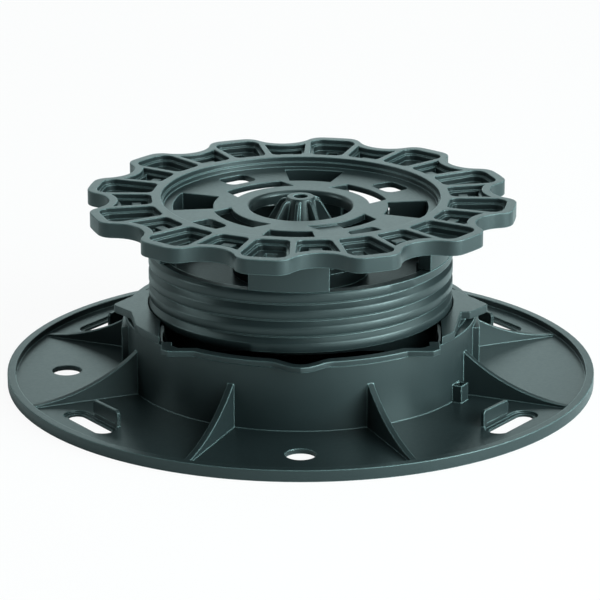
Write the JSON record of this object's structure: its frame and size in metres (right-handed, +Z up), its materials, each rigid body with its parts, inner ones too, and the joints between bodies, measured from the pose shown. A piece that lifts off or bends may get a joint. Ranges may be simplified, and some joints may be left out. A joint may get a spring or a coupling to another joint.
{
  "type": "raised floor pedestal",
  "caption": "Height-adjustable floor pedestal: wide round flanged base with gusseted collar, screw-threaded sleeve in a threaded ring, and a lobed head plate that carries floor panels.",
  "frame": {"origin": "centre of the underside of the base flange, on the screw axis", "axes": "+Z up along the screw axis, -Y toward the front with the pointed spout and the screw hole, +X to the right"},
  "size_m": [0.2, 0.2, 0.0643],
  "materials": {
    "base": "satin",
    "threaded_ring": "satin",
    "threaded_sleeve": "satin",
    "head_plate": "satin"
  },
  "bodies": {
    "base": {"base": "base", "threaded_ring": "threaded_ring"},
    "head": {"head_plate": "head_plate"},
    "sleeve": {"threaded_sleeve": "threaded_sleeve"}
  },
  "joints": [
    {"name": "height", "type": "slide", "parent": "base", "child": "head", "axis": [0, 0, 1], "range_m": [-0.011, 0]},
    {"name": "sleeve_turn", "type": "hinge", "parent": "head", "child": "sleeve", "pos_m": [0, 0, 0.04], "axis": [0, 0, 1], "range_deg": [-707.2, 0]}
  ],
  "couplings": [
    {"joint": "sleeve_turn", "follows": "height", "rad_per_m": 1122}
  ]
}
